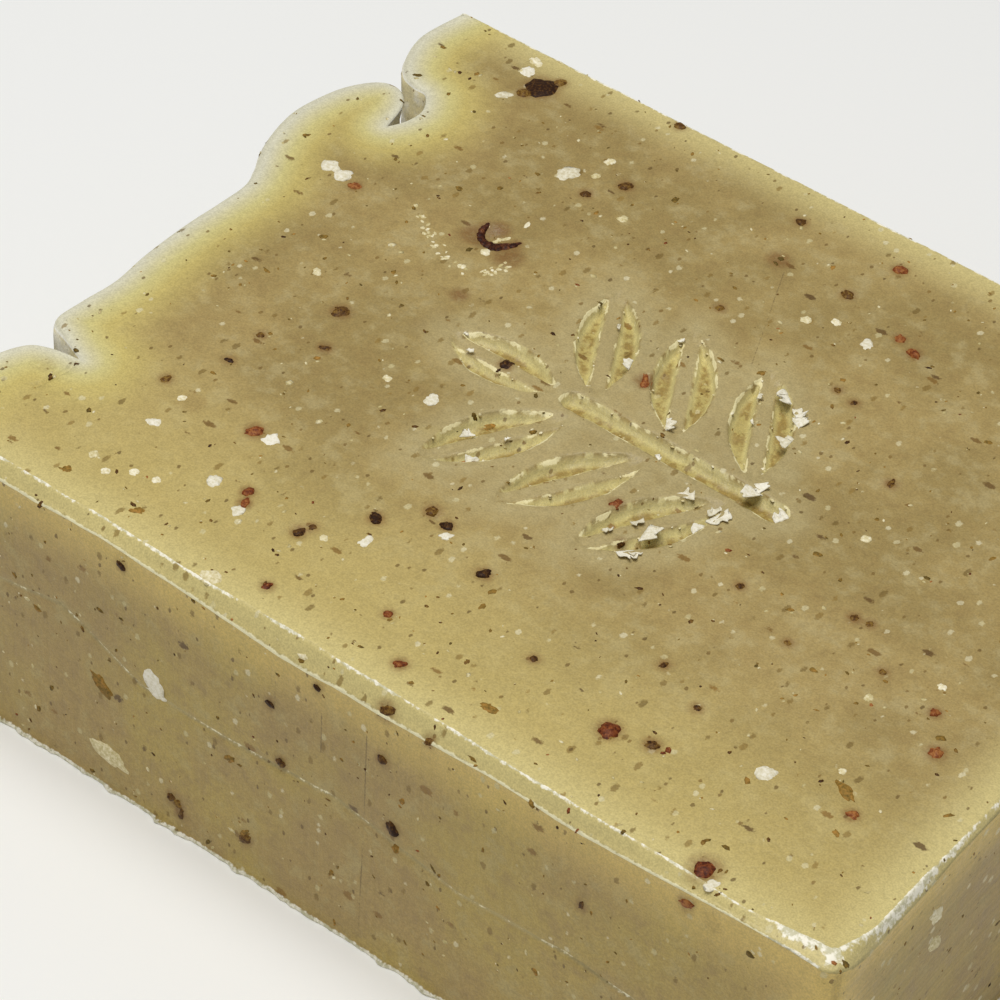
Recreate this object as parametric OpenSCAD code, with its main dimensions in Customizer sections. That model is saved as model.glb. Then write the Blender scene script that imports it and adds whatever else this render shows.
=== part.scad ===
// Shampoo bar: one slice of a hand-poured loaf, lying on its wide cut face.
// X runs from the wavy poured crest (-X) to the flat foot (+X), Y across the mould, Z up.
// The whole bar is one piece of soap: crest, planed edges and pressed sprig belong to it.

/* [Slice] */
// Length from the highest wave of the crest to the flat foot
bar_length = 81; // [70:0.5:100]
// Width of the loaf, from one mould wall to the other
bar_width = 63.5; // [56:0.5:76]
// Thickness of the slice between its two cut faces
bar_thickness = 25.4; // [18:0.1:32]
// Rounding of the two upright corners at the foot
corner_round = 1.6; // [0.6:0.1:3]

/* [Planed edges] */
// Width of the bevel on the near long edge, at the crest end
near_bevel_start = 0.9; // [0.4:0.05:2]
// Width of the same bevel at the foot, where the blade ran out
near_bevel_end = 0.65; // [0.2:0.05:1.5]
// Width of the bevel on the far long edge
far_bevel = 0.4; // [0.2:0.05:1.5]
// Width of the bevel along the top edge of the foot
foot_bevel = 0.5; // [0.3:0.05:1.5]
// Angle of the bevels below the top face
bevel_slope = 56; // [35:1:62]

/* [Wavy crest] */
// Rounding of the skin where the crest runs into the cut faces
rim_round = 1; // [0.4:0.1:1.4]
// Sideways drift of the waves and folds from the top face down to the bottom face
wave_drift = 2.4; // [0:0.1:3]
// Depth of the swirl hollows between the two cut faces
swirl_depth = 1.3; // [0.2:0.1:2]
// Number of swirl hollows across the bar
swirl_count = 2; // [1:1:4]

/* [Pressed sprig] */
// Depth of the pressed design
press_depth = 1; // [0.8:0.1:2]
// Lean of the pressed walls, so that the stamp lifts out
press_draft = 10; // [4:1:20]
// Length of the stem
stem_length = 20; // [18:0.5:24]
// Width of the stem at the top face
stem_width = 1.9; // [1.4:0.1:2.4]
// Leaves on each side of the stem
leaf_pairs = 3; // [2:1:3]
// Step from one pair of leaves to the next
leaf_pitch = 6.8; // [6.2:0.1:8]
// Length of a side leaf
leaf_length = 11.6; // [9:0.2:13]
// Width of a leaf at its middle
leaf_width = 4.6; // [3.4:0.1:5]
// Angle of the side leaves to the stem
leaf_angle = 62; // [50:1:75]
// Length of the leaf at the tip of the stem
tip_leaf_length = 9.4; // [8:0.2:12]
// Width of the raised rib left standing along each leaf
rib_width = 1.3; // [0.6:0.1:1.8]
// Drop of the rib below the top face
rib_drop = 0.3; // [0.1:0.1:0.6]

/* [Hidden] */
$fn = 96;

soap_colour = [0.69, 0.62, 0.39];
half_length = bar_length / 2;
half_width = bar_width / 2;
crest_x = -half_length;
over = 1;

// Each wave of the crest as [place, depth] marks: place is across the bar, -1 at the near
// mould wall and 1 at the far one, and depth is how far the wave lies behind the highest one.
// Neighbouring waves meet in a fold at the mark that they share.
near_fold = [-0.620, 7.8];
far_fold = [0.502, 6.9];
near_wave = [[-1.22, 4.4], [-1.02, 3.2], [-0.86, 2.2], [-0.74, 2.5], [-0.66, 3.6],
             [-0.632, 5.2], near_fold];
main_wave = [near_fold, [-0.585, 5.2], [-0.550, 3.3], [-0.46, 3.3], [-0.36, 3.6],
             [-0.24, 3.2], [-0.10, 3.1], [0.02, 3.3], [0.11, 3.3], [0.18, 2.4],
             [0.25, 1.2], [0.34, 0.3], [0.43, 0], [0.54, 0.7], [0.61, 1.9],
             [0.645, 3.3], [0.640, 4.9], [0.590, 6.2], far_fold];
far_wave = [far_fold, [0.550, 7.6], [0.610, 7.7], [0.665, 6.6], [0.675, 5.2],
            [0.700, 3.6], [0.76, 2.2], [0.86, 1.3], [0.97, 1.7], [1.10, 2.8], [1.22, 4.4]];
deepest = max([for (wave = [near_wave, main_wave, far_wave]) for (mark = wave) mark[1]]);
steps_per_mark = 3;

// Heights at which the crest is worked out, closer together where the rim is rounded
rim_levels = [0, 0.3, 1];
body_levels = 6;
levels = concat(
    [for (step = rim_levels) rim_round * step],
    [for (i = [1 : body_levels - 1])
        rim_round + (bar_thickness - 2 * rim_round) * i / body_levels],
    [for (i = [len(rim_levels) - 1 : -1 : 0])
        bar_thickness - rim_round * rim_levels[i]]);

// Point on a smooth curve through four marks, between the middle two
function spline(a, b, c, d, t) =
    0.5 * (2 * b + (c - a) * t + (2 * a - 5 * b + 4 * c - d) * t * t
        + (3 * b - a - 3 * c + d) * t * t * t);

// Smooth outline of one wave; its ends are sharp, so that folds stay sharp
function wave_curve(marks) = [
    for (i = [0 : len(marks) - 2]) for (k = [0 : steps_per_mark - 1])
        spline(marks[max(i - 1, 0)], marks[i], marks[i + 1],
            marks[min(i + 2, len(marks) - 1)], k / steps_per_mark)];

crest_marks = concat(wave_curve(near_wave), wave_curve(main_wave), wave_curve(far_wave),
    [far_wave[len(far_wave) - 1]]);

// How much of the rim rounding a mark takes: all of it on a wave, little inside a fold
function rim_share(depth) = max(0.15, 1 - depth / deepest);

// Inset of a rounded rim at height z above the lower of the two cut faces
function rim_inset(z) =
    let (d = min(z, bar_thickness - z, rim_round))
        rim_round - sqrt(rim_round * rim_round - pow(rim_round - d, 2));

// Hollow of the swirls: none at the cut faces, deepest between them
function swirl(place, z) =
    let (rise = sin(180 * z / bar_thickness))
        swirl_depth * rise * rise
            * (0.5 + 0.5 * sin(180 * swirl_count * place + 200 * z / bar_thickness));

// Sideways drift at height z; the mould walls hold it back
function drift(place, z) = wave_drift * (z / bar_thickness - 1) * max(0, 1 - pow(place, 4));

// Crest point for a mark at height z
function crest_point(mark, z) = [
    crest_x + mark[1] + rim_share(mark[1]) * rim_inset(z) + swirl(mark[0], z),
    mark[0] * half_width + drift(mark[0], z),
    z];

// Slab between the mould walls and the two cut faces, with rounded upright foot corners
module slab() {
    linear_extrude(height = bar_thickness)
        union() {
            translate([-half_length, -half_width])
                square([bar_length - corner_round, bar_width]);
            translate([-half_length, corner_round - half_width])
                square([bar_length, bar_width - 2 * corner_round]);
            for (side = [-1, 1])
                translate([half_length - corner_round, side * (half_width - corner_round)])
                    circle(r = corner_round);
        }
}

// Everything in front of the crest skin, as one ring of points for each height. Outside the
// slab the rings end in a straight one, whose flat lid is a plain fan.
module crest_cutter() {
    ring = len(crest_marks) + 2;
    rows = len(levels) + 2;
    front = crest_x - 4 * over;
    reach = half_width * 1.22 + over;
    points = [for (j = [0 : rows - 1]) for (i = [0 : ring - 1])
        let (lid = j == 0 || j == rows - 1,
             level = levels[min(max(j - 1, 0), len(levels) - 1)],
             past = j < 2 ? -1 : j > rows - 3 ? 1 : 0,
             z = level + past * (lid ? over : over / 2),
             p = i == 0 || i == ring - 1 ? [front] : crest_point(crest_marks[i - 1], level))
        i == 0 ? [front, -reach, z]
        : i == ring - 1 ? [front, reach, z]
        : lid ? [crest_x + deepest / 2, reach * (2 * i / (ring - 1) - 1), z]
        : [p[0], p[1], z]];
    walls = [for (j = [0 : rows - 2]) for (i = [0 : ring - 1])
        let (a = j * ring + i, b = j * ring + (i + 1) % ring)
            each [[a, b + ring, b], [a, a + ring, b + ring]]];
    top = (rows - 1) * ring;
    floor_fan = [for (i = [1 : ring - 2]) [0, i, i + 1]];
    roof_fan = [for (i = [1 : ring - 2]) [top, top + i + 1, top + i]];
    polyhedron(points = points, faces = concat(floor_fan, walls, roof_fan));
}

// Block that planes a bevel off the top edge running along +X at y = 0, from width w1 to w2
module plane_cut(length, w1, w2) {
    turn = atan((w1 - w2) / length);
    block = 3 * max(w1, w2) + over;
    translate([-length / 2, w1, bar_thickness])
        rotate([0, 0, -turn])
            rotate([bevel_slope, 0, 0])
                translate([-block, -2 * block, 0])
                    cube([length + 2 * block, 4 * block, block]);
}

module planed_edges() {
    translate([0, -half_width, 0])
        plane_cut(bar_length, near_bevel_start, near_bevel_end);
    translate([0, half_width, 0])
        rotate([0, 0, 180])
            plane_cut(bar_length, far_bevel, far_bevel);
    translate([half_length, 0, 0])
        rotate([0, 0, 90])
            plane_cut(bar_width, foot_bevel, foot_bevel);
}

// Pressed leaf lying along +X from the origin, its mouth at z = 0
module pressed_leaf(length) {
    arc = (length * length / 4 + leaf_width * leaf_width / 4) / leaf_width;
    lean = tan(press_draft);
    difference() {
        intersection() {
            for_side(1, length, arc, lean);
            for_side(-1, length, arc, lean);
        }
        translate([-over, -rib_width / 2, -press_depth - over])
            cube([length + 2 * over, rib_width, press_depth + over - rib_drop]);
    }
}

// One of the two leaning round walls of a leaf
module for_side(side, length, arc, lean) {
    translate([length / 2, side * (arc - leaf_width / 2), -press_depth])
        cylinder(h = press_depth + over, r1 = arc - press_depth * lean, r2 = arc + over * lean,
            $fn = 180);
}

// Stem pressed as a groove with leaning walls and a round foot
module pressed_stem(length) {
    lean = press_depth * tan(press_draft);
    rotate([90, 0, 90])
        linear_extrude(height = length)
            polygon([[-stem_width / 2 + lean, -press_depth], [stem_width / 2 - lean, -press_depth],
                     [stem_width / 2, 0], [stem_width / 2, over], [-stem_width / 2, over],
                     [-stem_width / 2, 0]]);
    translate([0, 0, -press_depth])
        cylinder(h = press_depth, r1 = stem_width / 2 - lean, r2 = stem_width / 2);
    cylinder(h = over, r = stem_width / 2);
}

// Leaf sprig growing towards the crest, centred on the top face
module pressed_sprig() {
    leaf_gap = stem_width / 2 + 0.7;
    whole = stem_length + tip_leaf_length;
    translate([whole / 2 - stem_width / 2, 0, bar_thickness])
        rotate([0, 0, 180]) {
            pressed_stem(stem_length - leaf_gap);
            translate([stem_length - leaf_gap + 0.7, 0, 0])
                pressed_leaf(tip_leaf_length);
            for (i = [0 : leaf_pairs - 1])
                for (side = [-1, 1])
                    translate([stem_length - leaf_gap - 1.6 - i * leaf_pitch, side * leaf_gap, 0])
                        rotate([0, 0, side * leaf_angle])
                            pressed_leaf(leaf_length);
        }
}

module shampoo_bar() {
    color(soap_colour)
        difference() {
            slab();
            crest_cutter();
            planed_edges();
            pressed_sprig();
        }
}

shampoo_bar();
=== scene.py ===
"""Shampoo bar on a pale floor: the soap's skin, its flecks and chips, and the view of it."""

import itertools
import math

import bmesh
import bpy
import numpy as np
from mathutils import Matrix, Vector
from mathutils.bvhtree import BVHTree
from mathutils.geometry import delaunay_2d_cdt
from mathutils.kdtree import KDTree


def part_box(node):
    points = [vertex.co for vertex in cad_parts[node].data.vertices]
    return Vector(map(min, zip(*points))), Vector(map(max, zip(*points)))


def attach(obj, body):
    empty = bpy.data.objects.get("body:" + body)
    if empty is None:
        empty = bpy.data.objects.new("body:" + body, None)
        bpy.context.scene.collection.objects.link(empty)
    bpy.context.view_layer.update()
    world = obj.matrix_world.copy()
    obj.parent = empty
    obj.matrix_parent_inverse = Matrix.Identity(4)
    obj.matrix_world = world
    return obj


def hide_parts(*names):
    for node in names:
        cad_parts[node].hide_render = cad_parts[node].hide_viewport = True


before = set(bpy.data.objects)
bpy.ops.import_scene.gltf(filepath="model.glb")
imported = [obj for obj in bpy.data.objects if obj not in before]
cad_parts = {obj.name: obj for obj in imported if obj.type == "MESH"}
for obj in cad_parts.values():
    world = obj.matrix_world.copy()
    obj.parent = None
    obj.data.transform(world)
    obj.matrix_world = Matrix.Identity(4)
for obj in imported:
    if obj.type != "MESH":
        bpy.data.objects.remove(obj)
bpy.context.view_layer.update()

# Sizes of the bar in millimetres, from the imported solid
MM = 0.001
BODY = "root"
NODE = "shampoo_bar"
HALF_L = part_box(NODE)[1].x / MM
HALF_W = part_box(NODE)[1].y / MM
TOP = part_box(NODE)[1].z / MM
CREST_X = -HALF_L

rng = np.random.default_rng(20)


# Noise

def hash_values(cells, seed):
    """One number from -1 to 1 for each row of whole numbers."""
    mixed = cells[:, 0] * 73856093 ^ cells[:, 1] * 19349663 ^ cells[:, 2] * 83492791 ^ seed * 265443
    mixed = mixed & 0xFFFFFFFF
    mixed = (mixed ^ (mixed >> 13)) * 1274126177 & 0xFFFFFFFF
    return ((mixed ^ (mixed >> 16)) & 0xFFFF) / 32767.5 - 1


def in_space(points):
    """The points as rows of three numbers: flat ones get a height of 0."""
    points = np.asarray(points, float)
    return points if points.shape[1] == 3 else np.column_stack([points, np.zeros(len(points))])


def noise(points, size, seed):
    """Smooth noise from -1 to 1 with lumps of the given size, at 2-D or 3-D points."""
    scaled = in_space(points) / size + 0.37 * seed
    base = np.floor(scaled).astype(np.int64)
    part = scaled - base
    part = part * part * (3 - 2 * part)
    total = np.zeros(len(scaled))
    for corner in itertools.product((0, 1), repeat=3):
        corner = np.array(corner)
        weight = np.prod(np.where(corner == 1, part, 1 - part), axis=1)
        total += weight * hash_values(base + corner, seed)
    return total


def rough(points, size, seed):
    """Noise with two finer layers on top."""
    return (noise(points, size, seed) + 0.5 * noise(points, size / 2, seed + 1)
            + 0.25 * noise(points, size / 4, seed + 2)) / 1.4


def layered(points, layers):
    """Sum of noise layers, each a height, a size and a seed."""
    return sum(height * noise(points, size, seed) for height, size, seed in layers)


def smooth(low, high, value):
    t = np.clip((value - low) / (high - low), 0, 1)
    return t * t * (3 - 2 * t)


# The view. The camera's place and turn come from the straight edges of the bar.

PHOTO = 1000
FOCAL_PX = 3951.0
AZIMUTH, ELEVATION, ROLL = 34.57, 42.68, 4.58
TARGET = np.array([-1.32, -11.63, 25.4])
DISTANCE = 271.8
SENSOR_MM = 36.0


def view_axes():
    a, e, r = (math.radians(v) for v in (AZIMUTH, ELEVATION, ROLL))
    back = np.array([math.sin(a) * math.cos(e), -math.cos(a) * math.cos(e), math.sin(e)])
    level = np.cross(-back, [0, 0, 1])
    level /= np.linalg.norm(level)
    rise = np.cross(level, -back)
    right = math.cos(r) * level + math.sin(r) * rise
    up = -math.sin(r) * level + math.cos(r) * rise
    return right, up, back


RIGHT, UP, BACK = view_axes()
EYE = TARGET + BACK * DISTANCE


def pixel_ray(pixel):
    """Direction from the eye through a pixel of the photograph."""
    x = (pixel[0] - PHOTO / 2) / FOCAL_PX
    y = (PHOTO / 2 - pixel[1]) / FOCAL_PX
    return RIGHT * x + UP * y - BACK


def on_plane(pixel, point, normal):
    """Where a pixel's ray meets the plane through that point."""
    ray = pixel_ray(pixel)
    return EYE + ray * np.dot(np.asarray(point) - EYE, normal) / np.dot(ray, normal)


def on_top(pixel):
    return on_plane(pixel, (0, 0, TOP), (0, 0, 1))[:2]


# Outline of the bar. Each wave of the crest is a list of (place, depth) marks: place is
# across the bar from -1 to 1, and depth is how far it lies behind the highest wave.

NEAR_FOLD = (-0.620, 7.8)
FAR_FOLD = (0.502, 6.9)
NEAR_WAVE = [(-1.0, 3.1), (-0.86, 2.2), (-0.74, 2.5), (-0.66, 3.6), (-0.632, 5.2), NEAR_FOLD]
MAIN_WAVE = [NEAR_FOLD, (-0.585, 5.2), (-0.550, 3.3), (-0.46, 3.3), (-0.36, 3.6),
             (-0.24, 3.2), (-0.10, 3.1), (0.02, 3.3), (0.11, 3.3), (0.18, 2.4),
             (0.25, 1.2), (0.34, 0.3), (0.43, 0), (0.54, 0.7), (0.61, 1.9),
             (0.645, 3.3), (0.640, 4.9), (0.590, 6.2), FAR_FOLD]
FAR_WAVE = [FAR_FOLD, (0.550, 7.6), (0.610, 7.7), (0.665, 6.6), (0.675, 5.2),
            (0.700, 3.6), (0.76, 2.2), (0.86, 1.3), (1.0, 1.9)]
DEEPEST = NEAR_FOLD[1]
# Points of the outline from one mark to the next, and their distance along the walls in mm
STEPS_PER_MARK, WALL_STEP = 7, 0.45
RIM_ROUND = 1.0
WAVE_DRIFT = 2.4
SWIRL_DEPTH = 1.3
SWIRLS = 2
SWIRL_TURN = math.radians(200)
CORNER_ROUND = 1.6


def spline(marks):
    """Smooth curve through the marks, with sharp ends."""
    marks = np.array(marks, float)
    curve = []
    for i in range(len(marks) - 1):
        a, b, c, d = (marks[min(max(k, 0), len(marks) - 1)] for k in range(i - 1, i + 3))
        for t in np.arange(STEPS_PER_MARK) / STEPS_PER_MARK:
            curve.append(0.5 * (2 * b + (c - a) * t + (2 * a - 5 * b + 4 * c - d) * t * t
                                + (3 * b - a - 3 * c + d) * t ** 3))
    return curve


CREST_MARKS = np.array(spline(NEAR_WAVE) + spline(MAIN_WAVE) + spline(FAR_WAVE) + [FAR_WAVE[-1]])
CREST_COUNT = len(CREST_MARKS)


def crest_at(z):
    """Skin of the crest from the near wall to the far one; z is one height or one for each mark."""
    place, depth = CREST_MARKS.T
    rise = np.sin(np.pi * z / TOP)
    swirl = SWIRL_DEPTH * rise ** 2 * (0.5 + 0.5 * np.sin(
        math.pi * SWIRLS * place + SWIRL_TURN * z / TOP))
    drift = WAVE_DRIFT * (z / TOP - 1) * np.maximum(0, 1 - place ** 4)
    return np.column_stack([CREST_X + depth + swirl, place * HALF_W + drift])


def walls_from(crest):
    """Far wall, foot and near wall, from the crest's far end back to its near end."""
    inner_x, inner_y = HALF_L - CORNER_ROUND, HALF_W - CORNER_ROUND
    along = round(2 * inner_x / WALL_STEP)
    across = round(2 * inner_y / WALL_STEP)
    far = np.column_stack([np.linspace(crest[-1, 0], inner_x, along)[1:],
                           np.full(along - 1, HALF_W)])
    turn = np.radians(np.linspace(90, 0, 7))[1:]
    corner = np.column_stack([inner_x + CORNER_ROUND * np.cos(turn),
                              inner_y + CORNER_ROUND * np.sin(turn)])
    foot = np.column_stack([np.full(across - 1, HALF_L),
                            np.linspace(inner_y, -inner_y, across)[1:]])
    near_corner = np.vstack([corner[::-1][1:] * [1, -1], [[inner_x, -HALF_W]]])
    near = np.column_stack([np.linspace(inner_x, crest[0, 0], along)[1:-1],
                            np.full(along - 2, -HALF_W)])
    return np.vstack([far, corner, foot, near_corner, near])


def ring_at(z):
    crest = crest_at(z)
    return np.vstack([crest, walls_from(crest)])


def inward(ring):
    """Unit directions into the outline, which runs clockwise seen from above."""
    ahead = np.roll(ring, -1, axis=0) - ring
    ahead /= np.linalg.norm(ahead, axis=1)[:, None]
    mean = ahead + np.roll(ahead, 1, axis=0)
    mean /= np.maximum(np.linalg.norm(mean, axis=1), 1e-6)[:, None]
    return np.column_stack([mean[:, 1], -mean[:, 0]])


BASE = ring_at(TOP)
RING = len(BASE)
BASE_3D = np.column_stack([BASE, np.full(RING, TOP)])
CREST = np.arange(RING) < CREST_COUNT
NEAR = (BASE[:, 1] < -HALF_W + 0.02) & ~CREST
FOOT = (BASE[:, 0] > HALF_L - 0.02) & ~CREST
NEAR_CORNER = (BASE[:, 0] > HALF_L - CORNER_ROUND) & ~FOOT & (BASE[:, 1] < 0)

# Width and drop of the bevel at places along the near edge. The blade bit deepest left
# of the middle and ran out at the foot.
BEVEL_AT = [-26, -20, -11, -4, 5, 14, 21, 28, 33, 37, 39]
BEVEL_WIDTH = [0.80, 0.92, 0.74, 0.90, 0.82, 0.66, 0.68, 0.78, 0.64, 1.15, 1.4]
BEVEL_DROP = [1.2, 0.9, 1.35, 1.85, 1.55, 1.2, 1.45, 0.9, 0.6, 0.42, 0.5]
# The same for the edge at the foot, at places across the bar; its near end was crushed
FOOT_AT = [-30.2, -28.5, -27, -24, -18.5, 0, 30]
FOOT_WIDTH = [1.3, 0.75, 0.4, 0.35, 0.25, 0.3, 0.3]
FOOT_DROP = [0.9, 1.4, 1.5, 1.05, 0.45, 0.55, 0.4]
CORNER_WIDTH, CORNER_DROP = 1.4, 0.6
FAR_WIDTH, FAR_DROP = 0.3, 0.4
# How much these sizes vary: the bevel's width and drop, and those of the other edges
BEVEL_RAGGED, DROP_RAGGED, EDGE_RAGGED = 0.10, 0.08, 0.3
# Roundness of the bevel and of the other edges, from 0 for a flat one to 1 for a round one
BEVEL_ROUNDNESS, EDGE_ROUNDNESS = 0.12, 0.6
# Share of the rim's rounding that is left deep in a fold
FOLD_ROUND = 0.15


def edge_sizes():
    """Inset, drop and roundness of the top edge at each point of the ring."""
    ragged = rough(BASE_3D, 3.0, 5)
    inset = FAR_WIDTH * (1 + EDGE_RAGGED * ragged)
    drop = np.full(RING, FAR_DROP)
    roundness = np.where(NEAR, BEVEL_ROUNDNESS, EDGE_ROUNDNESS)
    x, y = BASE.T
    for there, at, marks, widths, drops, varied, fallen in (
            (NEAR, x, BEVEL_AT, BEVEL_WIDTH, BEVEL_DROP, BEVEL_RAGGED, DROP_RAGGED),
            (FOOT, y, FOOT_AT, FOOT_WIDTH, FOOT_DROP, EDGE_RAGGED, EDGE_RAGGED)):
        inset = np.where(there, np.interp(at, marks, widths) * (1 + varied * ragged), inset)
        drop = np.where(there, np.interp(at, marks, drops) * (1 + fallen * ragged), drop)
    inset = np.where(NEAR_CORNER, CORNER_WIDTH, inset)
    drop = np.where(NEAR_CORNER, CORNER_DROP, drop)
    share = np.zeros(RING)
    share[:CREST_COUNT] = RIM_ROUND * np.maximum(FOLD_ROUND, 1 - CREST_MARKS[:, 1] / DEEPEST)
    return (np.where(CREST, share, inset), np.where(CREST, share, drop),
            np.where(CREST, 1.0, roundness))


INSET, DROP, ROUNDNESS = edge_sizes()

# Faint crease that crosses the near side, at heights along the bar
CREASE_AT = [-37.5, -32, -25, -17.4, -10, 0, 11, 20, 30, 39]
CREASE_HEIGHT = [12.0, 14.4, 15.7, 12.5, 12.6, 13.3, 11.5, 12.3, 11.6, 12.0]
# Half its width, its depth, and how strongly a paler line is painted along it, a painted highlight
# where light catches its lip
CREASE_HALF, CREASE_DEPTH, CREASE_HIGHLIGHT = 0.28, 0.16, 1.2
# Rows of points on the planed edge and on the side, and the side's row that the crease takes
EDGE_ROWS, SIDE_ROWS, CREASE_ROW = 6, 34, 17
# Distance from the last row of the edge down to the first one of the side
LIP_ROW = 0.11
# Least height of the lip that the blade raised along the edges, and how much more it may have
LIP_HEIGHT, LIP_RAGGED = 0.02, 0.10
# How far the lower line of the near bevel stands out and up
LINE_OUT, LINE_UP = 0.12, 0.10
# Height of the burr round the bottom, how far it stands out at least, and how much more
BURR_TOP, BURR_OUT, BURR_RAGGED = 0.5, 0.10, 0.45
# Rows of the bottom edge: height, inset, and share of the burr that stands out there
BOTTOM_RIM = ((0.27, 0.0, 1.0), (0.05, 0.02, 0.95), (0.0, 0.22, 0.0))


def side_levels():
    """Heights of the side's rows, one column for each point of the ring."""
    start = TOP - DROP - LIP_ROW
    even = start + (BURR_TOP - start) * np.linspace(0, 1, SIDE_ROWS)[:, None]
    height = np.interp(BASE[:, 0], CREASE_AT, CREASE_HEIGHT) + 0.2 * rough(BASE_3D, 4.0, 31)
    above = start + (height + CREASE_HALF - start) * np.linspace(0, 1, CREASE_ROW)[:, None]
    rest = np.linspace(0, 1, SIDE_ROWS - CREASE_ROW - 1)[:, None]
    below = height - CREASE_HALF + (BURR_TOP - height + CREASE_HALF) * rest
    return np.where(NEAR, np.vstack([above, height[None], below]), even)


def side_row(levels):
    crest = crest_at(levels[:CREST_COUNT])
    return np.column_stack([np.vstack([crest, walls_from(crest)]), levels])


# The skin is calm within the first distance of a fold's tip, and lumpy beyond the second one
CALM, LUMPY = 0.5, 3.5
FOLD_TIPS = [len(spline(NEAR_WAVE)), len(spline(NEAR_WAVE)) + len(spline(MAIN_WAVE))]
NEAR_FOLDS = 1 - smooth(CALM, LUMPY, np.min([np.linalg.norm(BASE - BASE[k], axis=1)
                                             for k in FOLD_TIPS], axis=0))


# Noise layers of the skin: height in mm, size in mm and seed
CREST_LUMPS = ((0.28, 5.0, 3), (0.10, 1.6, 4), (0.03, 0.7, 6))
WALL_WAVES = ((0.07, 9.0, 7), (0.025, 2.5, 9))
FACE_WAVES = ((0.06, 13.0, 51), (0.03, 3.4, 52), (0.012, 0.9, 53))


def skin_relief(points, row):
    """How far a row of the skin stands out: lumps on the crest, gentle waves on the walls."""
    lumps = layered(points, CREST_LUMPS) * (1 - NEAR_FOLDS)
    out = np.where(CREST, lumps, layered(points, WALL_WAVES))
    if row == EDGE_ROWS + CREASE_ROW:
        out = out - np.where(NEAR, CREASE_DEPTH * (0.7 + 0.5 * noise(points, 3.0, 12)), 0)
    return out


def side_rows():
    """Rows of the skin, from the rim of the top face down to the rim of the bottom face."""
    rows = []
    top_in = inward(BASE)
    lip = LIP_RAGGED * np.maximum(0, rough(BASE_3D, 1.1, 15)) + LIP_HEIGHT
    for k in range(EDGE_ROWS):
        q = k / (EDGE_ROWS - 1)
        inset = INSET * (ROUNDNESS * (1 - math.sin(q * math.pi / 2)) + (1 - ROUNDNESS) * (1 - q))
        fall = DROP * (ROUNDNESS * (1 - math.cos(q * math.pi / 2)) + (1 - ROUNDNESS) * q)
        row = np.column_stack([BASE + top_in * inset[:, None], TOP - fall])
        if k == 0:
            row[:, 2] += np.where(CREST, 0, lip)
        if k == EDGE_ROWS - 1:
            row[:, :2] -= top_in * (np.maximum(lip, LINE_OUT) * ~CREST)[:, None]
            row[:, 2] += LINE_UP * NEAR
        rows.append(row)
    for j, levels in enumerate(side_levels()):
        row = side_row(levels)
        out = skin_relief(row, EDGE_ROWS + j) * smooth(0, 3, j + 1.0)
        row[:, :2] -= inward(row[:, :2]) * out[:, None]
        rows.append(row)
    bottom = ring_at(0.0)
    bottom_in = inward(bottom)
    ground = np.column_stack([bottom, np.zeros(RING)])
    burr = BURR_OUT + BURR_RAGGED * np.maximum(0, rough(ground, 1.2, 22) + 0.1)
    burr *= NEAR | FOOT
    for z, inset, share in BOTTOM_RIM:
        out = inset - share * burr
        rows.append(np.column_stack([bottom + bottom_in * out[:, None], np.full(RING, z)]))
    return rows


# Pressed sprig

PRESS_DEPTH = 1.0
STEM_WIDTH = 1.9
STEM_FOOT, STEM_TIP = 13.75, -4.6
LEAF_WIDTH = 4.6
SIDE_LEAF, TIP_LEAF = 11.6, 9.4
LEAF_ANGLE = 62
LEAF_ROOTS = (-3.0, 3.8, 10.6)
LEAF_GAP = 1.65
TIP_ROOT = -5.3
RIB_HALF = 0.65
RIB_DROP = 0.3
# Rings round a pressed edge: offset outwards, height, and roughness of that height. Rings
# outside follow the ground, which is the top face or a rib.
PRESS_RINGS = ((0.60, 0.0, 0.3), (0.20, 0.07, 0.7), (0.0, -0.02, 0.6),
               (-0.11, -0.55, 0.8), (-0.24, -0.90, 1.2), (-0.50, -1.0, 1.5))
# Steps between points in mm: round a pressed shape, on the top face, in a pocket, underneath
RING_STEP, GRID_STEP, FINE_STEP, UNDER_STEP = 0.19, 0.43, 0.28, 1.3
# Height of a triangle with even sides, as a share of its side
TRIANGLE = 0.866
# Distances from a pressed edge at which the loose points of the pockets and of the face begin
POCKET_START, FACE_START = -0.58, 0.72


class Leaf:
    """Lens outline that lies from its root along its own direction."""

    def __init__(self, root, heading, length, seed):
        self.root = np.array(root, float)
        turn = math.radians(heading)
        self.along = np.array([math.cos(turn), math.sin(turn)])
        self.across = np.array([-self.along[1], self.along[0]])
        self.length, self.seed = length, seed
        self.arc = (length ** 2 / 4 + LEAF_WIDTH ** 2 / 4) / LEAF_WIDTH
        self.centre = self.arc - LEAF_WIDTH / 2

    def local(self, points):
        """Places along the leaf from its middle, and across it from its rib."""
        apart = points - self.root
        return apart @ self.along - self.length / 2, apart @ self.across

    def distance(self, points):
        x, y = self.local(points)
        return np.hypot(x, np.abs(y) + self.centre) - self.arc


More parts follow.
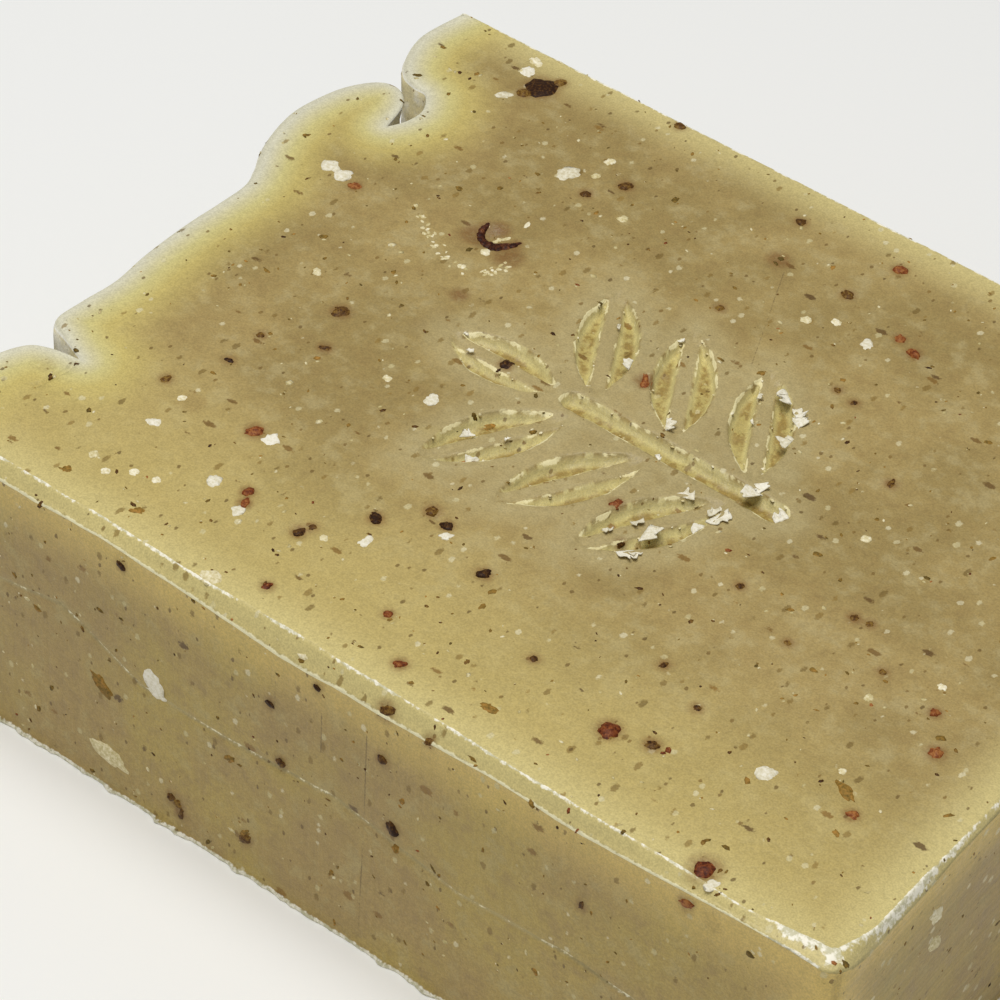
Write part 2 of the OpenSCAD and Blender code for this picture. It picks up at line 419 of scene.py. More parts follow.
class Blade:
    """Pocket between the round edge of a leaf and the rib along its middle."""

    def __init__(self, leaf, side):
        self.leaf, self.side, self.seed = leaf, side, leaf.seed + side

    def distance(self, points):
        """Signed distance to the outline, negative inside."""
        x, y = self.leaf.local(points)
        y = y * self.side
        round_edge = np.hypot(x, np.maximum(y, 0) + self.leaf.centre) - self.leaf.arc
        return np.maximum(round_edge, RIB_HALF - y)

    def ring(self, offset):
        radius = self.leaf.arc + offset
        chord = RIB_HALF - offset
        half = math.acos(min((self.leaf.centre + chord) / radius, 1))
        turn = np.linspace(-half, half, max(int(2 * radius * half / RING_STEP), 6))
        reach = radius * math.sin(half)
        back = np.linspace(reach, -reach, max(int(2 * reach / RING_STEP), 6))[1:-1]
        x = np.concatenate([radius * np.sin(turn), back]) + self.leaf.length / 2
        y = np.concatenate([radius * np.cos(turn) - self.leaf.centre, np.full(len(back), chord)])
        ahead, aside = x[:, None] * self.leaf.along, (y * self.side)[:, None] * self.leaf.across
        return self.leaf.root + ahead + aside


class Stem:
    """Groove with round ends along the middle of the sprig."""
    seed = 71

    def distance(self, points):
        half = STEM_WIDTH / 2
        x = np.clip(points[:, 0], STEM_TIP + half, STEM_FOOT)
        return np.hypot(points[:, 0] - x, points[:, 1]) - half

    def ring(self, offset):
        radius = STEM_WIDTH / 2 + offset
        left, right = STEM_TIP + STEM_WIDTH / 2, STEM_FOOT
        straight = np.arange(left, right, RING_STEP)
        turn = np.linspace(-math.pi / 2, math.pi / 2, max(int(math.pi * radius / RING_STEP), 5))
        end = np.column_stack([np.cos(turn), np.sin(turn)]) * radius
        return np.vstack([
            np.column_stack([straight, np.full(len(straight), -radius)]),
            end + [right, 0],
            np.column_stack([straight[::-1], np.full(len(straight), radius)]),
            -end + [left, 0]])


def leaves():
    found = [Leaf((TIP_ROOT, 0), 180, TIP_LEAF, 41)]
    for i, x in enumerate(LEAF_ROOTS):
        for side in (-1, 1):
            heading = 180 - side * LEAF_ANGLE
            found.append(Leaf((x, side * LEAF_GAP), heading, SIDE_LEAF, 45 + 8 * i + 3 * side))
    return found


LEAVES = leaves()
PRESSED = [Blade(leaf, side) for leaf in LEAVES for side in (-1, 1)] + [Stem()]


def press_distance(points):
    return np.min([shape.distance(points) for shape in PRESSED], axis=0)


# Top face

FOLD_CRACK = ((76, 363), (68, 369), (59, 374), (46, 381), (32, 388))
CRACK_DEPTH, CRACK_HALF = 0.30, 0.13
BRIM_ROWS = (0.16, 0.5)
# Hollows in the top face round the largest seeds: photo x, photo y, radius and depth in mm
HOLLOWS = ((492, 238, 1.9, 0.45), (540, 89, 1.5, 0.12), (645, 382, 0.9, 0.25),
           (705, 871, 1.0, 0.25), (299, 533, 0.9, 0.20), (437, 520, 1.0, 0.15))


def top_relief(points):
    """Height of the cut face over its plane."""
    height = layered(points, FACE_WAVES)
    for x, y, radius, depth in HOLLOWS:
        far = np.linalg.norm(points - on_top((x, y)), axis=1)
        height -= depth * smooth(radius, 0.2 * radius, far)
    for leaf in LEAVES:
        rib = np.abs(leaf.local(points)[1]) < RIB_HALF + 0.3
        height -= RIB_DROP * smooth(0.3, -0.5, leaf.distance(points)) * rib
    return height


def inside(points, ring):
    """Even-odd test of points against a closed outline."""
    found = np.zeros(len(points), bool)
    after = np.roll(ring, -1, axis=0)
    for a, b in zip(ring, after):
        if a[1] == b[1]:
            continue
        crosses = (a[1] > points[:, 1]) != (b[1] > points[:, 1])
        x = a[0] + (points[:, 1] - a[1]) * (b[0] - a[0]) / (b[1] - a[1])
        found ^= crosses & (points[:, 0] < x)
    return found


def tree_of(points):
    tree = KDTree(len(points))
    for i, p in enumerate(in_space(points)):
        tree.insert(p, i)
    tree.balance()
    return tree


def distances(points, tree):
    return np.array([tree.find(p)[2] for p in in_space(points)])


def along_line(pixels, step):
    """Points on the top face every step along a line of photo pixels, with their sideways unit."""
    marks = np.array([on_top(p) for p in pixels])
    points, aside = [], []
    for a, b in zip(marks[:-1], marks[1:]):
        length = np.linalg.norm(b - a)
        for t in np.arange(0, length, step) / length:
            points.append(a + (b - a) * t)
            aside.append(np.array([a[1] - b[1], b[0] - a[0]]) / length)
    return np.array(points), np.array(aside)


def loose_grid(step, jitter, staggered):
    """Points over the whole bar, each moved by up to a share of the step."""
    x, y = np.meshgrid(np.arange(-HALF_L, HALF_L, step),
                       np.arange(-HALF_W, HALF_W, step * (TRIANGLE if staggered else 1)))
    x[1::2] += step / 2 * staggered
    grid = np.column_stack([x.ravel(), y.ravel()])
    return grid + rng.uniform(-jitter, jitter, grid.shape) * step


class FacePoints:
    """Points of the top face, each with its height over the plane and its lip."""

    def __init__(self, rim):
        """Collect the points inside the rim, a flat outline."""
        self.places, self.heights, self.lips = [], [], []
        self.take_rings()
        self.take_crack()
        self.take_loose(rim)

    def take(self, places, height, lip=0.0):
        self.places.append(places)
        self.heights.append(np.broadcast_to(height, len(places)).astype(float))
        self.lips.append(np.broadcast_to(lip, len(places)).astype(float))

    def take_rings(self):
        """Rings round each pressed shape, where no other one is in their way."""
        for shape, (offset, z, ragged) in itertools.product(PRESSED, PRESS_RINGS):
            ring = shape.ring(offset)
            clear = np.ones(len(ring), bool)
            for other in PRESSED:
                if other is not shape:
                    clear &= other.distance(ring) > max(offset, 0) * 0.9 + 0.05
            wobble = (0.10 * rough(ring, 1.3, 5) + 0.05 * noise(ring, 0.5, 6)) * (offset < 0.5)
            height = z + 0.12 * ragged * rough(ring, 0.9, shape.seed + 1)
            height += top_relief(ring) if offset >= 0 else 0
            lip = np.clip(0.40 + 1.3 * rough(ring, 1.2, 8), 0, 1) if offset == 0 else 0 * height
            place = ring + inward(ring) * wobble[:, None]
            self.take(place[clear], height[clear], lip[clear])

    def take_crack(self):
        """The bottom and both sides of the crack behind the near fold."""
        line, aside = along_line(FOLD_CRACK, 0.25)
        line = line + aside * (0.08 * noise(line, 1.2, 61))[:, None]
        for shift, z in ((0, -CRACK_DEPTH), (CRACK_HALF, 0), (-CRACK_HALF, 0)):
            self.take(line + aside * shift, z + top_relief(line))

    def take_loose(self, rim):
        """Rows along the rim, then loose points on the face and in the pockets."""
        near_fixed = tree_of(np.vstack(self.places))
        rim_in = inward(rim)
        brim = [rim + rim_in * shift for shift in BRIM_ROWS]
        for row in brim:
            self.take(row, top_relief(row))
        near_brim = tree_of(np.vstack([rim] + brim))
        for step, pocket in ((GRID_STEP, False), (FINE_STEP, True)):
            grid = loose_grid(step, 0.12, staggered=True)
            deep = press_distance(grid)
            grid = grid[deep < POCKET_START] if pocket else grid[deep > FACE_START]
            height = -PRESS_DEPTH + 0.17 * rough(grid, 0.8, 77) if pocket else top_relief(grid)
            clear = distances(grid, near_fixed) > 0.55 * step
            clear &= distances(grid, near_brim) > 0.6 * step
            self.take(grid[clear], height[clear])

    def inside(self, rim):
        """Places, heights and lips of the points that lie well inside the rim."""
        places = np.vstack(self.places)
        keep = inside(places, rim) & (distances(places, tree_of(rim)) > 0.12)
        return places[keep], np.concatenate(self.heights)[keep], np.concatenate(self.lips)[keep]


def fill(rim, points):
    """Triangles that fill a rim through the points: all 2-D corners, and the triangles."""
    everything = [Vector(p) for p in np.vstack([rim, points])]
    found, _, faces, origin, _, _ = delaunay_2d_cdt(
        everything, [], [list(range(len(rim)))[::-1]], 1, 1e-7)
    source = np.array([o[0] if o else -1 for o in origin])
    return np.array([tuple(p) for p in found]), np.array(faces), source


# Where the crushed corner of the foot begins and is complete, along the bar and across it
CRUSHED_X, CRUSHED_Y = (33, 37), (-20, -27)


class Skin:
    """Corners, triangles and quads of the whole bar, and the masks that its finish uses."""

    def __init__(self):
        self.corners, self.faces = [], []
        self.masks = {name: [] for name in ("side", "burr", "warm", "press", "shoulder", "wall")}

    def count(self):
        return sum(len(c) for c in self.corners)

    def add(self, corners, **masks):
        self.corners.append(corners)
        for name, values in self.masks.items():
            values.append(np.broadcast_to(masks.get(name, 0.0), len(corners)).astype(float))


def row_burr(j, row, ragged, crushed):
    """How white and rough a row of the skin is, from 0 to 1, along planed and cut edges."""
    below = j - EDGE_ROWS
    foot = FOOT | NEAR_CORNER
    burr = np.zeros(RING)
    if j == 0:
        burr = np.clip(0.75 + ragged, 0, 1) * np.where(foot, 1.0, 0.85) * ~CREST
    # The near bevel's lower line: a raised lip, drawn bright partly as painted glow
    elif below == -1:
        burr = np.where(NEAR, 0.95 + 0.25 * ragged, 0)
    elif below < 0:
        burr = np.where(foot, 0.85 - 0.12 * j + 0.7 * ragged, 0)
    elif below >= SIDE_ROWS:
        burr = np.clip(0.95 + 0.5 * rough(row, 1.3, 22), 0, 1) * (NEAR | FOOT)
    # Cream dashes along the crease: painted highlight
    elif below == CREASE_ROW:
        burr = np.clip(0.38 + 0.4 * rough(row, 2.0, 33), 0, 0.5) * NEAR
    if below < 0:
        burr = np.maximum(burr, crushed * (0.95 - 0.35 * j + 0.6 * ragged))
        burr = np.maximum(burr, NEAR_CORNER * (1.1 - 0.25 * j))
    return np.clip(burr, 0, 1)


def build_skin():
    skin = Skin()
    rows = side_rows()
    ragged = rough(BASE_3D, 1.6, 15)
    crushed = smooth(*CRUSHED_X, BASE[:, 0]) * smooth(*CRUSHED_Y, BASE[:, 1])
    for j, row in enumerate(rows):
        below = j - EDGE_ROWS
        # Rows drawn cream: the near bevel's lower line and the crease, partly painted glow
        warm = NEAR & ((abs(below + 1) < 3) | (below == CREASE_ROW)) & (crushed < 0.5)
        # Along the crease the shoulder mask carries its painted highlight
        skin.add(row, side=min(j / EDGE_ROWS, 1.0), burr=row_burr(j, row, ragged, crushed),
                 warm=warm, shoulder=CREASE_HIGHLIGHT * NEAR * (below == CREASE_ROW))
    here = np.arange(RING)
    ahead = np.roll(here, -1)
    for j in range(len(rows) - 1):
        a, b = j * RING, (j + 1) * RING
        skin.faces += np.column_stack([a + here, a + ahead, b + ahead, b + here]).tolist()

    rim = rows[0][:, :2]
    points, heights, lips = FacePoints(rim).inside(rim)
    add_face(skin, rim, 0, points, np.concatenate([rows[0][:, 2], TOP + heights]),
             np.concatenate([np.zeros(RING), lips]))
    rim = rows[-1][:, :2]
    grid = loose_grid(UNDER_STEP, 0.25, staggered=False)
    grid = grid[inside(grid, rim)]
    grid = grid[distances(grid, tree_of(rim)) > UNDER_STEP / 2]
    flat = np.zeros(RING + len(grid))
    add_face(skin, rim, (len(rows) - 1) * RING, grid, flat, flat, under=True)
    return skin


def add_face(skin, rim, first, points, heights, lips, under=False):
    """Fill the rim, whose corners start at first, through the points."""
    corners, faces, source = fill(rim, points)
    known = (source >= 0) & (source < RING)
    number = np.where(known, first + source, 0)
    number[~known] = skin.count() + np.arange(np.sum(~known))
    made = np.column_stack([corners, heights[np.maximum(source, 0)]])[~known]
    near = press_distance(made[:, :2])
    deep = smooth(RIB_DROP + 0.1, PRESS_DEPTH, TOP - made[:, 2]) * (near < 0)
    shoulder = smooth(3.2, 0.4, near) * (near > 0)
    wall = smooth(-0.55, -0.2, near) * (near < -0.02)
    shown = float(not under)
    skin.add(made, side=1 - shown, press=deep * shown, shoulder=shoulder * shown, wall=wall * shown,
             warm=near < 1.5, burr=lips[np.maximum(source, 0)][~known])
    faces = number[faces]
    skin.faces += (faces[:, ::-1] if under else faces).tolist()


def to_mesh(name, corners, faces, attributes):
    """Object from corners in millimetres, with one number a corner for each attribute."""
    mesh = bpy.data.meshes.new(name)
    mesh.from_pydata((np.asarray(corners) * MM).tolist(), [], faces)
    for label, values in attributes.items():
        layer = mesh.attributes.new(label, "FLOAT", "POINT")
        layer.data.foreach_set("value", np.asarray(values, np.float32))
    mesh.polygons.foreach_set("use_smooth", np.full(len(mesh.polygons), True))
    mesh.validate()
    mesh.update()
    piece = bpy.data.objects.new(name, mesh)
    bpy.context.scene.collection.objects.link(piece)
    return piece


def crest_distance(corners, rows):
    """Distance of each corner from the skin of the crest."""
    return distances(corners, tree_of(np.vstack([row[:CREST_COUNT] for row in rows])))


def edge_distance(corners):
    """Distance from the nearest upper or upright edge.

    It is the second nearest of the walls and the top.
    """
    planes = np.column_stack([corners[:, 1] + HALF_W, HALF_W - corners[:, 1],
                              HALF_L - corners[:, 0], TOP - corners[:, 2]])
    return np.sort(np.abs(planes), axis=1)[:, 1]


def stains(corners, surface):
    """Share of the brown halo round the listed seeds at each corner."""
    found = np.zeros(len(corners))
    for listed, share in ((BLACK_SEEDS + DARK_SEEDS + RED_SEEDS + PIT, 1.0), (SPOTS, 0.9)):
        for x, y, length, width, _ in listed:
            met = surface.under((x, y))
            if met:
                size = (length + width) / 4 * DISTANCE / FOCAL_PX
                far = np.linalg.norm(corners - met[0], axis=1)
                found = np.maximum(found, share * smooth(1.5 * size + 0.35, 0.6 * size, far))
    return found


# Materials

def srgb(*colour):
    """Linear colour from one of 0 to 255 as a screen shows it."""
    values = [c / 255 for c in colour]
    linear = [v / 12.92 if v <= 0.04045 else ((v + 0.055) / 1.055) ** 2.4 for v in values]
    return (*linear, 1.0)


# A hairline's crookedness, and the half widths where it begins and ends to fade, in mm
CROOKED = 0.12
HAIR = (0.03, 0.075)


class Shader:
    """One material, built by short calls. Sizes in it are in millimetres."""

    def __init__(self, name):
        self.material = bpy.data.materials.new(name)
        self.material.use_nodes = True
        self.tree = self.material.node_tree
        self.surface = self.tree.nodes["Principled BSDF"]
        place = self.node("TexCoord", {}).outputs["Object"]
        self.place = self.scaled(place, (1 / MM, 1 / MM, 1 / MM))
        self.ragged = self.node("TexNoise", {"Vector": self.place, "Scale": 4.5}).outputs["Color"]

    def node(self, kind, inputs, **settings):
        made = self.tree.nodes.new("ShaderNode" + kind)
        for name, value in settings.items():
            setattr(made, name, value)
        for key, value in inputs.items():
            self.put(made.inputs[key], value)
        return made

    def put(self, socket, value):
        if isinstance(value, bpy.types.NodeSocket):
            self.tree.links.new(value, socket)
        else:
            socket.default_value = value

    def scaled(self, place, scale):
        return self.vector("MULTIPLY", place, scale)

    def math(self, operation, a, b):
        return self.node("Math", {0: a, 1: b}, operation=operation).outputs[0]

    def times(self, a, b):
        return self.math("MULTIPLY", a, b)

    def plus(self, a, b):
        return self.math("ADD", a, b)

    def minus(self, a, b):
        return self.math("SUBTRACT", a, b)

    def vector(self, operation, a, b=(0, 0, 0), result="Vector"):
        return self.node("VectorMath", {0: a, 1: b}, operation=operation).outputs[result]

    def fade(self, value, low, high, to_low=0.0, to_high=1.0):
        return self.node("MapRange", {0: value, 1: low, 2: high, 3: to_low, 4: to_high},
                         interpolation_type="SMOOTHSTEP").outputs[0]

    def noise(self, size, detail, place=None, roughness=0.5):
        return self.node("TexNoise", {"Vector": place or self.place, "Scale": 1 / size,
                                      "Detail": detail, "Roughness": roughness}).outputs[0]

    def mix(self, share, a, b, blend="MIX"):
        return self.node("Mix", {0: share, 6: a, 7: b}, data_type="RGBA",
                         blend_type=blend).outputs[2]

    def attribute(self, name):
        return self.node("Attribute", {}, attribute_name=name).outputs["Fac"]

    def ramp(self, value, stops):
        made = self.node("ValToRGB", {0: value})
        for k, (at, colour) in enumerate(stops):
            stop = made.color_ramp.elements[k] if k < 2 else made.color_ramp.elements.new(at)
            stop.position, stop.color = at, colour
        return made.outputs[0]

    def specks(self, size, radius, share, stretch=(1, 1, 1), seed=0.0):
        """Mask and random tone of scattered specks: a share of the cells holds one."""
        shift = self.scaled(self.ragged, (radius, radius, radius))
        place = self.vector("ADD", self.scaled(self.place, stretch), shift)
        place = self.vector("ADD", place, (seed, seed, seed))
        cells = self.node("TexVoronoi", {"Vector": place, "Scale": 1 / size})
        chance = self.node("SeparateColor", {0: cells.outputs["Color"]})
        reach = self.times(self.fade(chance.outputs[0], 1 - share, 1.0), radius / size)
        edge = self.minus(reach, cells.outputs["Distance"])
        return self.fade(edge, 0.0, 0.35 * radius / size), chance.outputs[1]

    def hairline(self, start, end):
        """Mask of a thin crooked line from one place to another."""
        crooked = self.vector("ADD", self.place, self.scaled(self.ragged, (CROOKED,) * 3))
        way = end - start
        apart = self.vector("SUBTRACT", crooked, tuple(start + CROOKED / 2))
        along = self.vector("DOT_PRODUCT", apart, tuple(way / np.dot(way, way)), "Value")
        along = self.node("MapRange", {0: along}).outputs[0]
        nearest = self.node("VectorMath", {0: tuple(way), "Scale": along},
                            operation="SCALE").outputs[0]
        return self.fade(self.vector("DISTANCE", apart, nearest, "Value"), *HAIR, 1.0, 0.0)

    def bump(self, height, strength, distance, normal=None):
        inputs = {"Height": height, "Strength": strength, "Distance": distance * MM}
        if normal:
            inputs["Normal"] = normal
        return self.node("Bump", inputs).outputs[0]

    def finish(self, colour, roughness, normal, **values):
        self.put(self.surface.inputs["Base Color"], colour)
        self.put(self.surface.inputs["Roughness"], roughness)
        self.put(self.surface.inputs["Normal"], normal)
        for name, value in values.items():
            self.surface.inputs[name.replace("_", " ")].default_value = value
        return self.material


KHAKI = srgb(170, 147, 90)
OLIVE = srgb(157, 135, 80)
YELLOW = srgb(198, 178, 108)
GREEN = srgb(186, 171, 122)
BROWN = srgb(148, 122, 72)
SIDE = srgb(182, 158, 84)
DUSK = srgb(173, 147, 88)
# Painted glow of light shining through the soap near its edges, on the walls and on the top face
SIDE_EDGE_GLOW = srgb(232, 202, 114)
EDGE_GLOW = srgb(216, 201, 136)
POCKET = srgb(184, 168, 100)
AMBER = srgb(152, 127, 64)
HALO = srgb(122, 82, 34)
WHITE = srgb(253, 247, 226)
CRUSHED = srgb(208, 202, 166)
# Cream of the raised lines and lips along the near bevel, the crease and the pressed edges: partly
# their own paler soap, partly painted glow
LINE_AND_GLOW = srgb(236, 224, 172)
LIP_AND_GLOW = srgb(255, 247, 204)
# Painted light on the pressed walls, which stand in shade
WALL_LIGHT = srgb(216, 204, 138)
# Pale skin of the crest: partly its own film, partly painted glow of light shining through the thin
# rim
SKIN = srgb(250, 247, 232)
CREAM_SKIN = srgb(228, 213, 158)
SCRATCH = srgb(122, 102, 62)
# Painted glow of light shining through the thin crest: tints by the distance from the skin of the
# crest, in shares of CREST_REACH, and how much of the soap's own colour each one hides
CREST_REACH = 7.0
CREST_GLOW_TINTS = ((0.0, srgb(220, 216, 190)), (0.12, srgb(214, 206, 160)), (0.24, srgb(210, 199, 132)),
               (0.42, srgb(206, 188, 110)), (1.0, srgb(194, 174, 102)))
# Specks in the soap: cell, largest radius and share, the stretch of the cells, how much they
# show, and the two tones between which each one lies
SPECKS = (
    (1.05, 0.28, 0.60, (1.0, 0.55, 0.6), 0.70, srgb(108, 84, 28), srgb(144, 114, 48)),
    (1.50, 0.32, 0.50, (0.5, 1.0, 0.7), 0.85, srgb(88, 60, 18), srgb(142, 106, 40)),
    (0.80, 0.17, 0.60, (1.0, 0.7, 0.6), 0.75, srgb(92, 68, 22), srgb(130, 100, 40)),
    (1.10, 0.28, 0.60, (1.0, 0.8, 0.8), 0.60, srgb(206, 194, 142), srgb(228, 219, 182)))
# Hairline scratches: photo x and y of both ends, and whether they are in the top face
SCRATCHES = (((784, 272), (752, 363), True), ((367, 736), (359, 925), False),
             ((322, 713), (321, 752), False), ((276, 680), (275, 706), False))
# How far the shading leans upwards on the rim of the crest and on the pressed walls
RIM_GLOW, WALL_GLOW = 1.3, 0.9
# Reach of the paler strip of painted glow below an edge, in mm, on the top face and on the walls
EDGE_REACH, SIDE_REACH = 6.0, 8.0


class Soap(Shader):
    """Olive khaki soap, yellower at the crest and edges where a glow of light through it is
    painted, with milled herb and pale specks in it.
    """

    def __init__(self):
        super().__init__("soap")
        self.cloud = self.noise(10.0, 2.0)
        self.patches = self.noise(1.9, 3.0, roughness=0.65)
        self.fine = self.noise(0.45, 2.0, roughness=0.7)
        self.grain = self.noise(0.13, 1.0)
        self.side, self.crest, self.wall = (
            self.attribute(name) for name in ("side", "crest", "wall"))
        self.skin = self.times(self.fade(self.crest, 0.3, 1.2, 1.0, 0.0),
                               self.fade(self.side, 0.4, 1.0))
        along = self.node("SeparateXYZ", {0: self.place}).outputs[0]
        self.foot = self.fade(along, HALF_L - 0.5, HALF_L - 0.1)
        stretch = self.mix(self.foot, (1.0, 1.0, 0.05, 1.0), (1.0, 0.05, 1.0, 1.0))
        self.streaks = self.noise(0.45, 1.0, place=self.scaled(self.place, stretch))

    def body(self):
        """Clouds of khaki and olive, yellower on the walls, with green and brown patches."""
        face = self.mix(self.fade(self.cloud, 0.38, 0.62), KHAKI, OLIVE)
        walls = self.mix(self.fade(self.cloud, 0.35, 0.6), SIDE, DUSK)
        colour = self.mix(self.times(self.side, 0.9), face, walls)
        colour = self.mix(self.fade(self.patches, 0.48, 0.70, 0.0, 0.42), colour, GREEN)
        colour = self.mix(self.fade(self.patches, 0.30, 0.50, 0.38, 0.0), colour, BROWN)
        # Greener round the pressed design; on the near side the same mask paints the crease's
        # highlight
        return self.mix(self.times(self.attribute("shoulder"), 0.55), colour, GREEN)

    def edges(self, colour):
        """Yellower towards the near side and every edge, then the tints of the crest: painted glow
        of light shining through the soap near its edges and its thin crest.
        """
        drift = self.times(self.minus(self.cloud, 0.5), 5.0)
        near = self.fade(self.plus(self.attribute("near"), drift), 4.0, 21.0, 0.75, 0.0)
        # Painted glow: yellower towards the near side
        colour = self.mix(self.times(near, self.minus(1.0, self.side)), colour, YELLOW)
        rim = self.plus(self.attribute("edge"), self.times(self.patches, 2.0))
        reach = self.node("MapRange", {0: self.side, 3: EDGE_REACH, 4: SIDE_REACH}).outputs[0]
        pale = self.mix(self.fade(self.side, 0.8, 1.0), EDGE_GLOW, SIDE_EDGE_GLOW)
        colour = self.mix(self.fade(rim, 0.8, reach, 0.8, 0.0), colour, pale)
        # Painted glow of light through the thin crest, fading with the distance from its skin
        tint = self.ramp(self.math("DIVIDE", self.crest, CREST_REACH), CREST_GLOW_TINTS)
        behind = self.plus(self.crest, self.times(drift, 0.4))
        colour = self.mix(self.fade(behind, 1.5, CREST_REACH, 0.95, 0.0), colour, tint)
        film_and_glow = self.math("MAXIMUM", self.fade(self.side, 0.85, 1.0, 1.0, 0.0),
                         self.fade(self.patches, 0.45, 0.70, 0.1, 0.7))
        # The crest's pale skin: partly its own film, partly painted glow
        return self.mix(self.skin, colour, self.mix(film_and_glow, CREAM_SKIN, SKIN))

    def pressed(self, colour):
        """Amber spots in the pockets of the pressed design, and its walls painted paler, as light
        shining through them.
        """
        spots = self.plus(self.patches, self.times(self.fine, 0.5))
        pocket = self.mix(self.fade(spots, 0.70, 0.84), AMBER, POCKET)
        colour = self.mix(self.times(self.attribute("press"), 0.8), colour, pocket)
        # Painted light: the pressed walls lightened
        return self.mix(self.times(self.wall, 0.65), colour, WALL_LIGHT)

    def speckled(self, colour):
        """Milled specks, soft spots, stains round the seeds, and hairline scratches."""
        for size, radius, share, stretch, shown, dark, pale in SPECKS:
            mask, pick = self.specks(size, radius, share, stretch, seed=size)
            colour = self.mix(self.times(mask, shown), colour, self.mix(pick, dark, pale))
        soft, pick = self.specks(5.0, 1.3, 0.35, seed=3.0)
        colour = self.mix(self.times(soft, 0.22), colour, self.mix(pick, HALO, YELLOW))
        stain = self.times(self.attribute("stain"), self.fade(self.fine, 0.3, 0.6, 0.45, 0.85))
        colour = self.mix(stain, colour, HALO)
        for start, end, on_face in SCRATCHES:
            a, b = (np.append(on_top(p), TOP) if on_face
                    else on_plane(p, (0, -HALF_W, 0), (0, 1, 0)) for p in (start, end))
            colour = self.mix(self.times(self.hairline(a, b), 0.7), colour, SCRATCH)
        return colour

    def worn(self, colour):
        """Grain and the blade's streaks as light and dark, then the white crushed edges and the
        cream lips, partly painted glow.
        """
        marks = self.times(self.minus(self.streaks, 0.5), self.side)
        reach = self.node("MapRange", {0: self.foot, 3: 0.10, 4: 0.40}).outputs[0]
        light = self.plus(self.fade(self.grain, 0.25, 0.75, 0.87, 1.08), self.times(marks, reach))
        light = self.plus(light, self.times(self.minus(self.fine, 0.5), 0.30))
        colour = self.mix(1.0, colour, light, blend="MULTIPLY")
        ragged = self.times(self.minus(self.fine, 0.5), 1.1)
        burr = self.fade(self.plus(self.attribute("burr"), ragged), 0.30, 0.62)
        white = self.mix(self.fade(self.fine, 0.40, 0.62), CRUSHED, WHITE)
        # Cream lips and lines where warm: partly their own soap, partly painted glow
        line = self.mix(self.side, LINE_AND_GLOW, LIP_AND_GLOW)
        return self.mix(burr, colour, self.mix(self.attribute("warm"), white, line))

    def normal(self):
        """Fine bumps; at the rim of the crest and the pressed walls the shading leans upwards."""
        lean = self.plus(self.times(self.skin, RIM_GLOW), self.times(self.wall, WALL_GLOW))
        lean = self.node("CombineXYZ", {2: lean}).outputs[0]
        raised = self.vector("ADD", self.node("NewGeometry", {}).outputs["Normal"], lean)
        raised = self.vector("NORMALIZE", raised)
        fine = self.plus(self.fine, self.times(self.streaks, self.side))
        return self.bump(self.grain, 0.35, 0.04, self.bump(fine, 0.55, 0.09, raised))

    def build(self):
        colour = self.worn(self.speckled(self.pressed(self.edges(self.body()))))
        roughness = self.fade(self.patches, 0.3, 0.7, 0.42, 0.58)
        return self.finish(colour, roughness, self.normal(), Specular_IOR_Level=0.4)


# How strongly the streaks change a bit's own tone
MOTTLE = 2.4
BIT_ROUGHNESS = 0.5


def bit_material(name, dark, mid, pale, roughness):
    """Plant bits: each has its own tone between dark and pale, with streaks along it."""
    s = Shader(name)
    tone = s.attribute("tone")
    grain = s.noise(0.26, 3.0, roughness=0.7)
    value = s.plus(tone, s.times(s.minus(grain, 0.5), MOTTLE))
    colour = s.ramp(value, ((0.0, dark), (1.0, pale), (0.5, mid)))
    return s.finish(colour, roughness, s.bump(grain, 0.6, 0.06), Specular_IOR_Level=0.15)


# Bits that lie in the skin

def ball(detail):
    """Corners and triangles of a unit ball."""
    made = bmesh.new()
    bmesh.ops.create_icosphere(made, subdivisions=detail, radius=1)
    made.verts.ensure_lookup_table()
    corners = np.array([v.co for v in made.verts])
    faces = np.array([[v.index for v in f.verts] for f in made.faces])
    made.free()
    return corners, faces


BALLS = {detail: ball(detail) for detail in (1, 2, 3)}
# Points of a shaving along it and across it
CURL_ALONG, CURL_ACROSS = 15, 6
# A shaving's thickness, its first slope, and the largest product of its bend and its width
CURL_THICK, CURL_START, CURL_RISE = 0.08, 0.06, 0.7
# Shares by which a shaving's outline varies, its widest place shifts and it waves
CURL_RAGGED, CURL_SKEW, CURL_WAVE = 0.55, 0.5, 0.12


def curl_faces():
    """Quads of a closed sheet: a lower grid of corners, then an upper one."""
    n, m = CURL_ALONG, CURL_ACROSS
    number = np.arange(n * m).reshape(n, m)
    a, b, c, d = (part.ravel() for part in (number[:-1, :-1], number[1:, :-1],
                                            number[1:, 1:], number[:-1, 1:]))
    loop = np.concatenate([number[:, 0], number[-1, 1:], number[-2::-1, -1], number[0, -2:0:-1]])
    after = np.roll(loop, -1)
    return np.vstack([np.column_stack([d, c, b, a]), np.column_stack([a, b, c, d]) + n * m,
                      np.column_stack([loop, after, after + n * m, loop + n * m])])


CURL_FACES = curl_faces()


